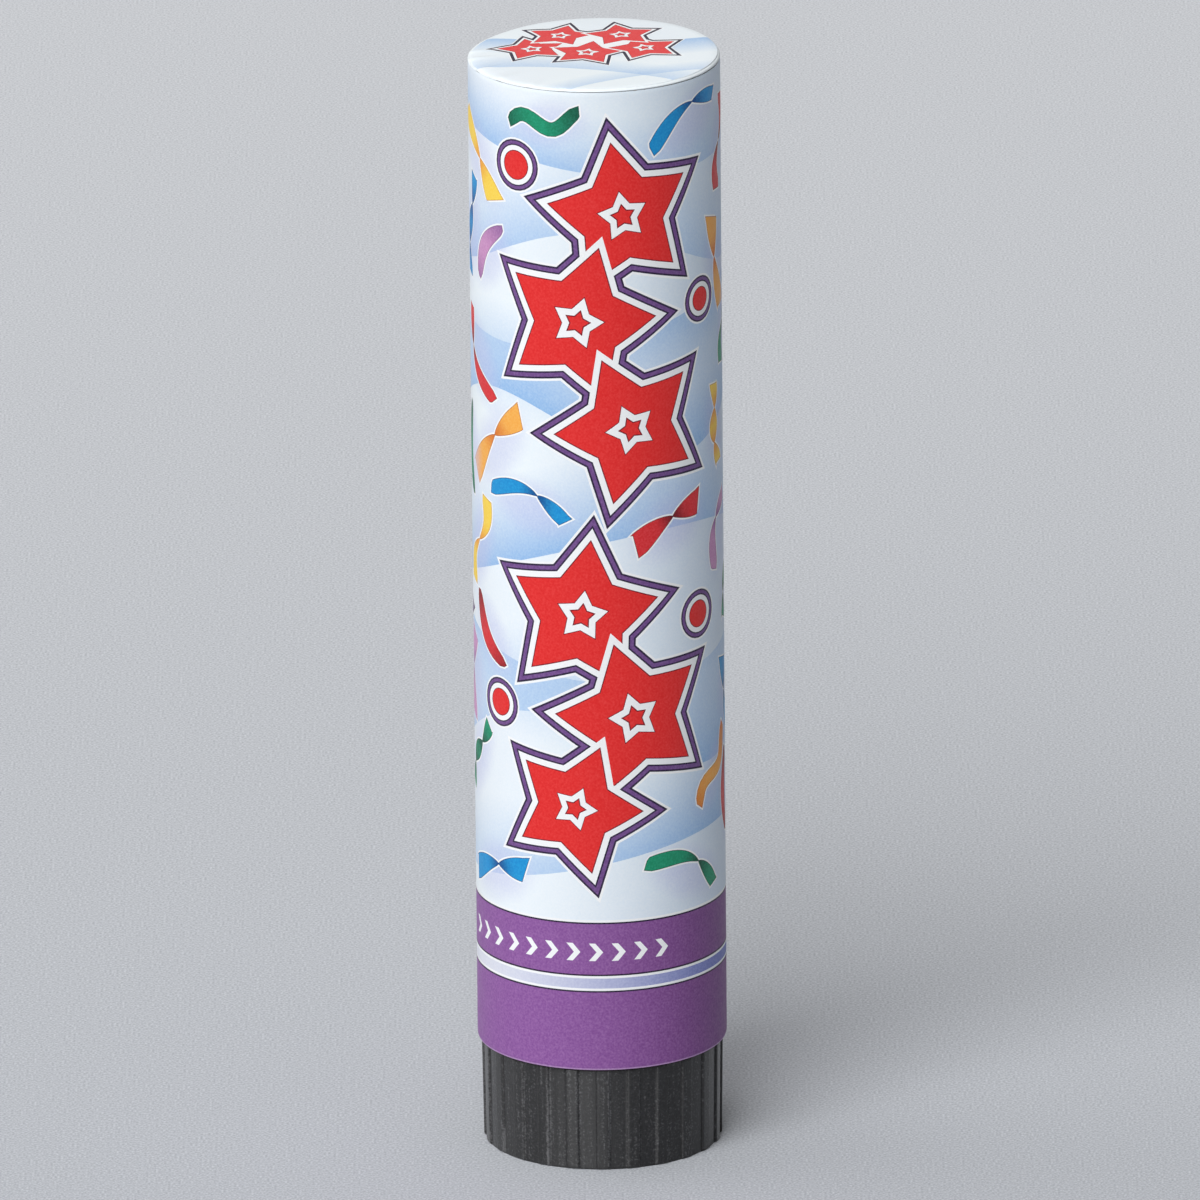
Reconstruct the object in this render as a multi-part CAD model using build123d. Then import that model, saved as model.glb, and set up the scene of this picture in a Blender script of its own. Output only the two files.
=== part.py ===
"""Confetti popper: a printed paper tube on a ribbed twist grip, fired by compressed air.

Millimetres. The origin is the centre of the grip's standing rim, +Z runs up the tube and
the front is the -Y side. Each function makes one node; the last lines write them out.
"""
from build123d import *
import math
import os

# Tube, wrap and seal
overall_height = 203.0
tube_bore = 41.8
tube_wall = 1.45
wrap_thickness = 0.15
wrap_lap = 9.0
seal_thickness = 1.0
seal_rounding = 0.7
card_thickness = 1.5

# Twist grip
grip_height = 18.9
grip_inset = 0.75
grip_draft = 0.25
grip_wall = 1.8
grip_rib_count = 24
grip_rib_width = 2.4
grip_rib_height = 0.35
grip_rib_rounding = 0.25
grip_edge_break = 0.3
web_thickness = 2.0
sleeve_wall = 2.1
ledge_width = 1.2
ledge_height = 1.2
bead_reach = 0.5

# Cam plate, which closes the grip from below
plate_recess = 0.8
plate_thickness = 1.8
key_count = 4
key_width = 2.0
key_depth = 1.2
ramp_count = 3
ramp_width = 3.0
ramp_low_height = 0.4
ramp_margin = 3.0
twist_degrees = 75.0
plug_travel = 3.0

# Fixed collar
collar_height = 21.0
collar_wall = 1.5
deck_thickness = 2.4
neck_radius = 13.0
neck_wall = 2.5
neck_clearance = 2.4
neck_lip = 1.2
guide_rib_width = 1.6
guide_rib_depth = 1.2
hub_lift = 3.5
hub_height = 3.5
hub_wall = 1.5
spoke_count = 4
spoke_width = 2.0

# Rings and staples of spring wire
ring_thickness = 0.9
ring_width = 2.3
ring_bite = 0.8
ring_opening = 50.0
clip_thickness = 0.8
clip_width = 2.6
clip_bite = 0.7
staple_count = 4
staple_span = 8.0
staple_wire = 1.0
staple_flat = 0.6
staple_rise = 11.0
staple_point = 0.5

# Gas cylinder and its valve
cylinder_radius = 12.0
cylinder_length = 74.0
cylinder_wall = 1.2
cylinder_neck_radius = 7.0
cylinder_neck_lip = 1.2
shoulder_land = 1.8
shoulder_height = 4.0
cylinder_rounding = 7.0
bush_bore = 8.0
bush_wall = 1.6
bush_flange_width = 1.5
bush_flange_thickness = 1.0
gasket_thickness = 0.8

# Release plug
head_length = 3.2
head_engagement = 2.2
stem_radius = 2.0
guide_thickness = 2.0
foot_degrees = 16.0
o_ring_section = 1.1
o_ring_depth = 0.5

# Spacer, wad and confetti
spacer_height = 8.0
spacer_rise = 2.0
spacer_wall = 1.4
spacer_spoke_count = 6
spacer_spoke_width = 1.8
pusher_thickness = 2.0
felt_thickness = 5.0
slip_width = 16.0
slip_length = 41.0
bundle_thickness = 5.6
bundle_gap = 0.4
least_headspace = 5.0
confetti_colours = ["red", "blue", "green", "yellow", "pink"]

# Clearances
joint_gap = 0.4
glue_gap = 0.05
running_clearance = 0.06
sealing_clearance = 0.04
sliding_clearance = 0.3
plug_clearance = 0.2
ramp_clearance = 0.1
end_play = 0.1
rest_gap = 0.3

# Radii that follow
tube_inner_radius = tube_bore / 2
tube_outer_radius = tube_inner_radius + tube_wall
wrap_radius = tube_outer_radius + wrap_thickness
payload_radius = tube_inner_radius - sliding_clearance
collar_radius = tube_inner_radius - glue_gap
grip_top_radius = wrap_radius - grip_inset
grip_bottom_radius = grip_top_radius - grip_draft
skirt_inner_radius = grip_bottom_radius - grip_rib_height - grip_wall
plate_radius = skirt_inner_radius - plug_clearance
neck_bore_radius = neck_radius - neck_wall
guide_radius = neck_bore_radius - plug_clearance
sleeve_bore_radius = neck_radius + running_clearance
ramp_outer_radius = neck_bore_radius - guide_rib_depth - sliding_clearance
ramp_inner_radius = ramp_outer_radius - ramp_width
bush_bore_radius = bush_bore / 2
bush_radius = bush_bore_radius + bush_wall
head_radius = bush_bore_radius - plug_clearance

# Heights that follow, from the grip's rim upwards
plate_top = plate_recess + plate_thickness
ramp_degrees = twist_degrees + foot_degrees
ramp_rise = plug_travel * ramp_degrees / twist_degrees
ramp_bottom = plate_top + ramp_low_height
ramp_top = ramp_bottom + ramp_rise
guide_bottom = ramp_top + plug_travel + rest_gap
guide_top = guide_bottom + guide_thickness
neck_bottom = plate_top + neck_clearance
ring_bottom = neck_bottom + neck_lip
ring_top = ring_bottom + ring_thickness
sleeve_bottom = ring_top + end_play
tube_bottom = grip_height + joint_gap
tube_top = overall_height - seal_thickness
deck_top = tube_bottom + deck_thickness
hub_bottom = tube_bottom + hub_lift
hub_top = hub_bottom + hub_height
clip_bottom = hub_bottom - clip_thickness
cylinder_mouth = clip_bottom - cylinder_neck_lip
cylinder_floor = hub_top + cylinder_wall
cylinder_top = hub_top + cylinder_length
bush_flange_bottom = cylinder_floor + gasket_thickness
bush_top = bush_flange_bottom + bush_flange_thickness
head_top = cylinder_mouth + head_engagement
head_bottom = head_top - head_length
spacer_top = cylinder_top + spacer_rise
spacer_bottom = spacer_top - spacer_height
pusher_bottom = spacer_top + rest_gap
pusher_top = pusher_bottom + pusher_thickness
felt_top = pusher_top + felt_thickness
confetti_bottom = felt_top + rest_gap
card_bottom = tube_top - card_thickness
staple_middle = tube_bottom + staple_rise


# Helpers
def disc(radius, bottom, top):
    """Upright cylinder between two heights."""
    return Pos(0, 0, bottom) * extrude(Circle(radius), top - bottom)


def ring(inner, outer, bottom, top):
    """Upright tube between two radii and two heights."""
    return disc(outer, bottom, top) - disc(inner, bottom, top)


def bar(inner, outer, width, bottom, top):
    """Block that runs outwards along +X from one radius to another."""
    length = outer - inner
    return Pos(inner + length / 2, 0, (bottom + top) / 2) * Box(length, width, top - bottom)


def turned(points):
    """Solid turned about Z from a closed outline of (radius, height) points."""
    outline = make_face(Polyline(*points, close=True))
    return revolve(Plane.XZ * outline, Axis.Z)


def sector(inner, outer, degrees):
    """Flat slice of a ring that starts at +X and turns towards +Y."""
    turns = (0, degrees / 2, degrees)
    near = [Vector(inner, 0).rotate(Axis.Z, turn) for turn in turns]
    far = [Vector(outer, 0).rotate(Axis.Z, turn) for turn in turns]
    edges = [ThreePointArc(*far), Line(far[2], near[2]), ThreePointArc(*near), Line(near[0], far[0])]
    return make_face(edges)


def arc_block(inner, outer, degrees, bottom, top):
    """Slice of an upright ring between two heights."""
    return Pos(0, 0, bottom) * extrude(sector(inner, outer, degrees), top - bottom)


def around(count, shape):
    """Copies of one shape evenly spaced about Z."""
    return [Rot(0, 0, 360 / count * index) * shape for index in range(count)]


def open_ring(inner, outer, bottom, top):
    """Spring ring that is open at the back."""
    return Rot(0, 0, 90 + ring_opening / 2) * arc_block(inner, outer, 360 - ring_opening, bottom, top)


def rounded_top(shape, rounding):
    """Shape with the edge of its upper end rounded."""
    return fillet(shape.edges().group_by(Axis.Z)[-1], rounding)


# Tube, wrap and seal
def staples():
    """Staples that hold the collar: the back lies flush in the board, the legs go through."""
    outer = tube_outer_radius
    inner = collar_radius - collar_wall - staple_point
    low = staple_middle - staple_span / 2
    high = staple_middle + staple_span / 2
    back = bar(outer - staple_flat, outer, staple_wire, low, high)
    lower_leg = bar(inner, outer, staple_wire, low, low + staple_wire)
    upper_leg = bar(inner, outer, staple_wire, high - staple_wire, high)
    flush = disc(outer, low, high)
    staple = (back + lower_leg + upper_leg) & flush
    return around(staple_count, Rot(0, 0, 180 / staple_count) * staple)


def paper_tube():
    return ring(tube_inner_radius, tube_outer_radius, tube_bottom, tube_top) - staples()


def printed_wrap():
    """Wrap with its free end lapped over at the back."""
    lap_degrees = math.degrees(wrap_lap / wrap_radius)
    lap = arc_block(wrap_radius, wrap_radius + wrap_thickness, lap_degrees, tube_bottom, tube_top)
    return ring(tube_outer_radius, wrap_radius, tube_bottom, tube_top) + Rot(0, 0, 90) * lap


def top_seal():
    return rounded_top(disc(wrap_radius, tube_top, overall_height), seal_rounding)


def closure_card():
    return disc(payload_radius, card_bottom, tube_top)


# Twist grip and cam plate
def twist_grip():
    """Ribbed skirt with a sleeve that turns on the collar's neck."""
    floor_bottom = grip_bottom_radius - grip_rib_height
    floor_top = grip_top_radius - grip_rib_height
    skirt_outline = [
        (skirt_inner_radius, 0),
        (floor_bottom, 0),
        (floor_top, grip_height),
        (skirt_inner_radius, grip_height),
    ]
    rib_outline = [
        (skirt_inner_radius + grip_wall / 2, 0),
        (grip_bottom_radius - grip_edge_break, 0),
        (grip_bottom_radius, grip_edge_break),
        (grip_top_radius, grip_height),
        (skirt_inner_radius + grip_wall / 2, grip_height),
    ]
    rib = turned(rib_outline) & bar(0, wrap_radius, grip_rib_width, 0, grip_height)
    corners = rib.edges().filter_by(lambda edge: edge.length > grip_height / 2).group_by(Axis.X)[-1]
    rib = fillet(corners, grip_rib_rounding)
    sleeve_radius = sleeve_bore_radius + sleeve_wall
    sleeve = ring(sleeve_bore_radius, sleeve_radius, sleeve_bottom, grip_height)
    web = ring(sleeve_bore_radius, skirt_inner_radius, sleeve_bottom, sleeve_bottom + web_thickness)
    ledge = ring(skirt_inner_radius - ledge_width, skirt_inner_radius, plate_top, plate_top + ledge_height)
    bead_outline = [
        (skirt_inner_radius + grip_wall / 2, plate_recess - bead_reach),
        (skirt_inner_radius, plate_recess - bead_reach),
        (skirt_inner_radius - bead_reach, plate_recess),
        (skirt_inner_radius + grip_wall / 2, plate_recess),
    ]
    key_inner = skirt_inner_radius - key_depth
    key = bar(key_inner, skirt_inner_radius + grip_wall / 2, key_width, plate_recess, plate_top)
    skirt = turned(skirt_outline) + around(grip_rib_count, rib) + ledge + turned(bead_outline)
    return skirt + around(key_count, key) + web + sleeve


def ramp_block(lift, start, degrees):
    """Block under the helical cam face, raised by a lift, over one stretch of the ramp."""
    rise_per_degree = plug_travel / twist_degrees
    climb_degrees = ramp_degrees + 2 * ramp_margin
    climb_bottom = ramp_bottom + lift - ramp_margin * rise_per_degree
    climb_rise = (0, 0, climb_degrees * rise_per_degree)
    inner = ramp_inner_radius / 2
    outer = 2 * ramp_outer_radius
    section = sector(inner, outer, climb_degrees).face()
    climb = Solid.extrude_linear_with_rotation(section, (0, 0, 0), climb_rise, climb_degrees)
    climb = Pos(0, 0, climb_bottom) * Rot(0, 0, -ramp_margin) * climb
    footing = ring(inner, outer, plate_top, climb_bottom)
    stretch = arc_block(ramp_inner_radius, ramp_outer_radius, degrees, plate_top, guide_bottom)
    return Rot(0, 0, start) * stretch & (climb + footing)


def cam_plate():
    """Plate keyed into the skirt, with ramps that let the plug's feet down as it turns."""
    plate = disc(plate_radius, plate_recess, plate_top)
    notch_width = key_width + 2 * plug_clearance
    notch_inner = skirt_inner_radius - key_depth - plug_clearance
    notch = bar(notch_inner, wrap_radius, notch_width, plate_recess, plate_top)
    ramp = ramp_block(0, 0, ramp_degrees)
    return plate - around(key_count, notch) + around(ramp_count, ramp)


# Fixed collar and what holds it
def fixed_collar():
    """Socket in the tube's lower end: bearing neck below, spoked hub for the cylinder above."""
    top = tube_bottom + collar_height
    wall = ring(collar_radius - collar_wall, collar_radius, tube_bottom, top)
    deck = ring(neck_bore_radius, collar_radius, tube_bottom, deck_top)
    neck = ring(neck_bore_radius, neck_radius, neck_bottom, deck_top)
    groove = ring(neck_radius - ring_bite, neck_radius, ring_bottom, ring_top)
    rib_inner = neck_bore_radius - guide_rib_depth
    rib = bar(rib_inner, neck_bore_radius + neck_wall / 2, guide_rib_width, neck_bottom, guide_top)
    hub_bore = cylinder_neck_radius + glue_gap
    hub = ring(hub_bore, hub_bore + hub_wall, hub_bottom, hub_top)
    spoke = bar(hub_bore + hub_wall / 2, collar_radius - collar_wall / 2, spoke_width, hub_bottom, hub_top)
    collar = wall + deck + neck + around(2, rib) + hub + around(spoke_count, spoke)
    return collar - groove - staples()


def retaining_ring():
    inner = neck_radius - ring_bite
    return open_ring(inner, inner + ring_width, ring_bottom, ring_top)


def neck_clip():
    inner = cylinder_neck_radius - clip_bite
    return open_ring(inner, inner + clip_width, clip_bottom, hub_bottom)


# Gas cylinder and its valve
def gas_cylinder():
    """Drawn cylinder, mouth down, with a rounded upper end and a groove for the clip."""
    neck_inner = bush_radius + glue_gap
    inner = cylinder_radius - cylinder_wall
    shoulder_top = hub_top + shoulder_height
    land = cylinder_neck_radius + shoulder_land
    body_outline = [
        (0, cylinder_mouth),
        (cylinder_neck_radius, cylinder_mouth),
        (cylinder_neck_radius, clip_bottom),
        (cylinder_neck_radius - clip_bite, clip_bottom),
        (cylinder_neck_radius - clip_bite, hub_bottom),
        (cylinder_neck_radius, hub_bottom),
        (cylinder_neck_radius, hub_top),
        (land, hub_top),
        (cylinder_radius, shoulder_top),
        (cylinder_radius, cylinder_top),
        (0, cylinder_top),
    ]
    hollow_outline = [
        (0, cylinder_mouth),
        (neck_inner, cylinder_mouth),
        (neck_inner, cylinder_floor),
        (land - cylinder_wall / 2, cylinder_floor),
        (inner, shoulder_top + cylinder_wall / 2),
        (inner, cylinder_top - cylinder_wall),
        (0, cylinder_top - cylinder_wall),
    ]
    body = rounded_top(turned(body_outline), cylinder_rounding)
    return body - rounded_top(turned(hollow_outline), cylinder_rounding - cylinder_wall)


def valve_bush():
    """Flanged bush that the plug's ring seals in."""
    tail = ring(bush_bore_radius, bush_radius, cylinder_mouth, bush_top)
    flange = ring(bush_bore_radius, bush_radius + bush_flange_width, bush_flange_bottom, bush_top)
    return tail + flange


def bush_gasket():
    return ring(bush_radius + glue_gap, bush_radius + bush_flange_width, cylinder_floor, bush_flange_bottom)


# Release plug
def o_ring_centre():
    """Radius and height of the ring's centre line on the plug's head."""
    radius = bush_bore_radius - sealing_clearance - o_ring_section / 2
    return radius, head_top - o_ring_depth - o_ring_section / 2


def release_plug():
    """Grooved head in the bush, stem, guide disc held from turning, and feet on the ramps."""
    groove_radius, groove_height = o_ring_centre()
    half_groove = o_ring_section / 2 + sealing_clearance
    groove_bottom = groove_radius - half_groove
    head = disc(head_radius, head_bottom, head_top)
    groove = ring(groove_bottom, head_radius, groove_height - half_groove, groove_height + half_groove)
    stem = disc(stem_radius, guide_bottom, head_bottom)
    guide = disc(guide_radius, guide_bottom, guide_top)
    slot_inner = neck_bore_radius - guide_rib_depth - plug_clearance
    slot = bar(slot_inner, neck_radius, guide_rib_width + 2 * plug_clearance, guide_bottom, guide_top)
    foot_start = ramp_degrees - foot_degrees
    foot = arc_block(ramp_inner_radius, ramp_outer_radius, foot_degrees, plate_top, guide_top)
    foot = Rot(0, 0, foot_start) * foot - ramp_block(ramp_clearance, foot_start, foot_degrees)
    return head - groove + stem + (guide - around(2, slot)) + around(ramp_count, foot)


def plug_o_ring():
    radius, height = o_ring_centre()
    return Pos(0, 0, height) * Torus(radius, o_ring_section / 2)


# Spacer, wad and confetti
def cylinder_spacer():
    """Two rings joined by spokes; the gas passes between them."""
    bore = cylinder_radius + glue_gap
    inner_ring = ring(bore, bore + spacer_wall, spacer_bottom, spacer_top)
    outer_ring = ring(collar_radius - spacer_wall, collar_radius, spacer_bottom, spacer_top)
    spoke_inner = bore + spacer_wall / 2
    spoke_outer = collar_radius - spacer_wall / 2
    spoke = bar(spoke_inner, spoke_outer, spacer_spoke_width, spacer_bottom, spacer_top)
    return inner_ring + outer_ring + around(spacer_spoke_count, spoke)


def pusher_disc():
    return disc(payload_radius, pusher_bottom, pusher_top)


def felt_pad():
    return disc(payload_radius, pusher_top, felt_top)


def bundle_places():
    """Centres of the confetti bundles: as many rows, columns and tiers as the tube takes."""
    row_pitch = bundle_thickness + bundle_gap
    column_pitch = slip_width + bundle_gap
    tier_pitch = slip_length + bundle_gap
    rows = int((2 * payload_radius + bundle_gap) / row_pitch)
    tiers = int((card_bottom - least_headspace - confetti_bottom) / tier_pitch)
    places = []
    for tier in range(tiers):
        height = confetti_bottom + tier * tier_pitch + slip_length / 2
        for row in range(rows):
            across = (row - (rows - 1) / 2) * row_pitch
            far_side = abs(across) + bundle_thickness / 2
            chord = 2 * math.sqrt(payload_radius**2 - far_side**2)
            columns = int((chord + bundle_gap) / column_pitch)
            for column in range(columns):
                along = (column - (columns - 1) / 2) * column_pitch
                places.append((along, across, height))
    return places


def confetti(index):
    """All bundles of one colour; the colours take turns from bundle to bundle."""
    bundle = Box(slip_width, bundle_thickness, slip_length)
    turns = bundle_places()[index :: len(confetti_colours)]
    return Compound(children=[Pos(*place) * bundle for place in turns])


nodes = {
    "paper_tube": paper_tube(),
    "printed_wrap": printed_wrap(),
    "top_seal": top_seal(),
    "closure_card": closure_card(),
    "collar_staples": Compound(children=staples()),
    "fixed_collar": fixed_collar(),
    "retaining_ring": retaining_ring(),
    "neck_clip": neck_clip(),
    "twist_grip": twist_grip(),
    "cam_plate": cam_plate(),
    "gas_cylinder": gas_cylinder(),
    "valve_bush": valve_bush(),
    "bush_gasket": bush_gasket(),
    "release_plug": release_plug(),
    "plug_o_ring": plug_o_ring(),
    "cylinder_spacer": cylinder_spacer(),
    "pusher_disc": pusher_disc(),
    "felt_pad": felt_pad(),
}
for number, colour in enumerate(confetti_colours):
    nodes["confetti_" + colour] = confetti(number)

os.makedirs("parts", exist_ok=True)
for name, shape in nodes.items():
    export_step(shape, "parts/" + name + ".step")
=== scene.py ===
"""Looks of the confetti popper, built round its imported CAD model.

Metres in the model's own frame: +Z runs up the tube and -Y is the front of the print.
The print is laid out on the unrolled paper in millimetres: u runs to the right from the
front and v is the height. The seal's print is laid out in x and y.
"""
import math

import bpy
import numpy as np
from mathutils import Matrix, Vector, noise
from mathutils.geometry import delaunay_2d_cdt


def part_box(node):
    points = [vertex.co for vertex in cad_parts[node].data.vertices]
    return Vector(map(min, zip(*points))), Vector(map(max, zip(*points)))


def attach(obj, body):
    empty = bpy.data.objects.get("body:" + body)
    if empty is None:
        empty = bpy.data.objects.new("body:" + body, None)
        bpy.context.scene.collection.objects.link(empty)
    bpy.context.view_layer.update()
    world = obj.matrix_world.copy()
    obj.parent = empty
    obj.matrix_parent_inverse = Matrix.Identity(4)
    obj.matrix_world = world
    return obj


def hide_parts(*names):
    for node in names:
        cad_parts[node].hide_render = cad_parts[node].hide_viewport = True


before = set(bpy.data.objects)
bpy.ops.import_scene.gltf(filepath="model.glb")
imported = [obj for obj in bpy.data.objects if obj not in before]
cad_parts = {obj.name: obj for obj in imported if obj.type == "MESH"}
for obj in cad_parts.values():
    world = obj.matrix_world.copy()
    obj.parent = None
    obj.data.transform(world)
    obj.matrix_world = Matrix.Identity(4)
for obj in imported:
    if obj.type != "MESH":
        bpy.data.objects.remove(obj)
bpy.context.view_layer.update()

MM = 0.001

# Sizes taken from the frame, in millimetres
wrap_low, wrap_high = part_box("printed_wrap")
wrap_radius = wrap_high.x / MM
wrap_bottom = wrap_low.z / MM
wrap_top = wrap_high.z / MM
seal_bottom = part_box("top_seal")[0].z / MM
seal_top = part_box("top_seal")[1].z / MM
pad_low, pad_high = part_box("felt_pad")

# Grip: rounding of its ribs in metres, and two angles in radians:
# where on a rib its lighter edge lies, partly wear and partly painted highlight, and the lit front-left
# side where that edge is lightest, as painted light
grip_ribs = 24
rib_rounding = 0.0007
rib_wear_and_highlight_edge = 1.3
worn_and_lit_side = -2.4

# Pitch of the board tube's winding, in metres
board_pitch = 0.07

# Paper of the wrap, and how finely it is drawn
wrap_thickness = 0.14
wrap_lap = 9.0
lap_ramp = 1.4
lap_step = 0.15
face_inset = 0.02
ripple_height = 0.02
tuck_depth = 0.12
tuck_height = 0.7
half_turn = math.pi * wrap_radius
sheet_left = -half_turn
sheet_right = half_turn + wrap_lap
column_step = 1.45
row_step = 3.0
lowest_row = 2.5
highest_row = 2.0
outline_step = 1.2
upright_ease = 2.5

# Bake map of the wrap: its printed face, beside it the back, and above the back its edges
map_margin = 0.01
face_width = 0.8
back_left = 0.83
back_width = 0.15
back_height = 0.9
edge_bottom = 0.96
edge_rise = 0.02
edge_strip = 0.01

# Heights of the print
band_top = 47.2
line_width = 0.45
dark_line = 0.3
# width of a lighter line along the wrap's cut bottom edge: a painted highlight where the edge catches light
edge_highlight_width = 0.3
art_bottom = band_top + line_width

# Long arrow and arrow marks on the band
arrow_tail = -66
arrow_tip = 58
arrow_height = 35.7
arrow_shaft = 0.95
arrow_head = 3.2
arrow_fade_start = -30
arrow_fade_length = 62
chevron_start = -31
chevron_spacing = 4.1
chevron_height = 41.6
chevron_size = 3.3
chevron_count = 11

# Ground of the print: shares of lavender and blue, and the angle in radians of its bluest side; the blue
# round that side is partly print and partly painted shade
cloud_share = 0.12
seal_cloud_share = 0.1
blue_and_shade_share = 0.26
shaded_side_angle = 1.9

# Lines round a star or dot: how far each reaches out, in line widths, the line widths in use,
# and the limit that cuts back pointed corners
halo_spread = 3.1
outer_spread = 2.65
surround_spread = 2.3
inner_spread = 1.6
white_spread = 1.3
edge_spread = 0.2
star_line_width = 1.0
dot_line_width = 0.8
seal_line_width = 0.42
sharpest_corner = 0.3

# Small star in the middle of a star: its parts as shares of the star's radius
small_star_edge = 0.36
small_star = 0.34
heart_edge = 0.18
heart = 0.15

# Seal
card_radius = 22.0
rim_points = 240
ring_step = 1.4
inner_rings = 18
outer_rings = [18.6, 19.4, 20.2, 20.8, 21.4]
face_drop = 0.06
seal_tilt = 0.35
tilt_x = 0.5
tilt_y = 0.87
seal_bend = 0.52
seal_bend_angle = 156
bend_start = 15
seal_wave = 0.05
rim_roll = 0.12
roll_width = 1.2
flat_radius = card_radius - roll_width
rim_crease = 40

# Puckers round the seal's edge: angle in degrees, width in degrees, height
seal_puckers = [
    (171, 1.6, 0.22), (-176, 2.0, 0.34), (-167, 1.4, -0.1), (-157, 2.0, 0.38),
    (-147, 1.4, -0.12), (-139, 1.7, 0.3), (-121, 1.5, 0.22), (-104, 1.3, 0.14),
]
pucker_reach = 5.0

# Rim of the seal from its face down: distance outside the card and share of the height
rim_profile = [
    (0.03, 0.93), (0.06, 0.78), (0.16, 0.75), (0.30, 0.66), (0.41, 0.52),
    (0.46, 0.36), (0.43, 0.24), (0.26, 0.12), (0.22, 0.0),
]


def ink(red, green, blue):
    """Linear colour of an ink that shows on screen as red, green and blue from 0 to 255."""
    share = np.array([red, green, blue]) / 255
    return np.where(share <= 0.04045, share / 12.92, ((share + 0.055) / 1.055) ** 2.4)


# Inks and papers; each colour of a streamer has a bright and a deep ink
paper_white = ink(240, 248, 252)
halo_white = ink(247, 249, 251)
sky_blue = ink(148, 189, 234)
lavender = ink(196, 200, 236)
star_red = ink(229, 48, 47)
star_line = ink(126, 24, 40)
outline_purple = ink(118, 82, 142)
outline_dark = ink(48, 36, 66)
band_purple = ink(145, 94, 162)
# the band's deeper purple is painted shade on its right side
band_painted_shade = ink(128, 79, 142)
band_dark = ink(44, 32, 58)
stripe_pale = ink(226, 229, 240)
stripe_blue = ink(122, 132, 200)
cut_edge = ink(214, 210, 216)
# lighter purple of a painted highlight along the wrap's cut bottom edge
edge_highlight_purple = ink(180, 142, 192)
seal_red = ink(230, 72, 74)
seal_line = ink(58, 58, 74)
inks = {
    "blue": (ink(28, 150, 214), ink(18, 84, 150)),
    "green": (ink(30, 150, 112), ink(16, 84, 66)),
    "yellow": (ink(250, 214, 84), ink(240, 160, 62)),
    "red": (ink(220, 52, 58), ink(120, 26, 36)),
    "pink": (ink(206, 150, 196), ink(150, 104, 160)),
    "orange": (ink(247, 178, 84), ink(220, 120, 48)),
}


# Flat shapes of the print

def facing_out(points):
    """The outline with its points running counterclockwise."""
    x, y = points[:, 0], points[:, 1]
    area = np.sum(x * np.roll(y, -1) - y * np.roll(x, -1))
    return points if area > 0 else points[::-1]


def grown(points, distance):
    """The outline moved outwards by a distance, with pointed corners cut back a little."""
    points = facing_out(points)
    steps = np.roll(points, -1, axis=0) - points
    steps = steps / np.maximum(np.linalg.norm(steps, axis=1, keepdims=True), 1e-9)
    after = np.stack([steps[:, 1], -steps[:, 0]], axis=1)
    before = np.roll(after, 1, axis=0)
    middle = before + after
    spread = np.maximum(np.sum(middle**2, axis=1) / 2, sharpest_corner)
    return points + middle * (distance / spread)[:, None]


def divided(points):
    """The outline with its long edges cut short enough to follow the tube's curve."""
    cut = []
    for start, end in zip(points, np.roll(points, -1, axis=0)):
        reach = max(abs(end[0] - start[0]), abs(end[1] - start[1]) / upright_ease)
        count = max(1, math.ceil(reach / outline_step))
        cut += [start + (end - start) * step / count for step in range(count)]
    return cut


def star(u, v, radius, turn, waist=0.56):
    """Outline of a five-pointed star."""
    points = []
    for step in range(10):
        reach = radius if step % 2 == 0 else radius * waist
        angle = math.radians(90 + turn + 36 * step)
        points.append((u + reach * math.cos(angle), v + reach * math.sin(angle)))
    return np.array(points)


def dot(u, v, radius):
    """Outline of a round dot."""
    angle = np.linspace(0, 2 * math.pi, 28, endpoint=False)
    return np.stack([u + radius * np.cos(angle), v + radius * np.sin(angle)], axis=1)


def strip(low, high):
    """Outline of a level strip all round the wrap."""
    return np.array([(sheet_left, low), (sheet_right, low), (sheet_right, high), (sheet_left, high)])


def chevron(u, v, size):
    """Outline of an arrow mark that points to the right."""
    half, reach, bar = size / 2, size * 0.42, size * 0.36
    return np.array([(u, v - half), (u + bar, v - half), (u + bar + reach, v), (u + bar, v + half),
                     (u, v + half), (u + reach, v)])


def long_arrow(tail, tip, v, shaft, head):
    """Outline of an arrow that runs to the right along the band."""
    neck = tip - head
    return np.array([(tail, v - shaft), (neck, v - shaft), (neck, v - head), (tip, v), (neck, v + head),
                     (neck, v + shaft), (tail, v + shaft)])


# Paints: each takes the colour below and the place, and gives the new colour

def flat(colour):
    """Paint of one colour."""
    return lambda below, u, v: np.broadcast_to(colour, below.shape)


def towards(colour, share):
    """Paint that lets the colour below show through: share gives how much it covers."""
    def paint(below, u, v):
        return below + (colour - below) * share(u, v)[:, None]
    return paint


def blended(start, end, share):
    """Paint that goes from one colour to another."""
    def paint(below, u, v):
        return start + (end - start) * share(u, v)[:, None]
    return paint


def smooth(share):
    """A share from 0 to 1 that starts and ends gently."""
    share = np.clip(share, 0, 1)
    return share * share * (3 - 2 * share)


def shaded_side(u, v):
    """How far a place of the wrap lies round to its shaded right side: 0 on the left and 1 on the right,
    used for painted shade.
    """
    return smooth(0.5 + 0.5 * np.cos(u / wrap_radius - shaded_side_angle))


# Parts of the artwork, each a list of layers (outline, paint)

def sweep(centre, rise, waves, phase, depth, strength):
    """A pale blue sweep round the tube: crisp along one edge, fading out over its depth."""
    def edge(u):
        return centre + rise * np.sin(waves * u / wrap_radius + phase)

    def share(u, v):
        fade = np.clip(1 - (v - edge(u)) / depth, 0, 1)
        swell = 0.78 + 0.22 * np.sin(u / wrap_radius + 2.3 * phase)
        return strength * swell * fade**1.1

    u = np.linspace(sheet_left, sheet_right, 120)
    near = np.stack([u, edge(u)], axis=1)
    far = np.stack([u, edge(u) + depth], axis=1)
    return [(np.concatenate([near, far[::-1]]), towards(sky_blue, share))]


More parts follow.
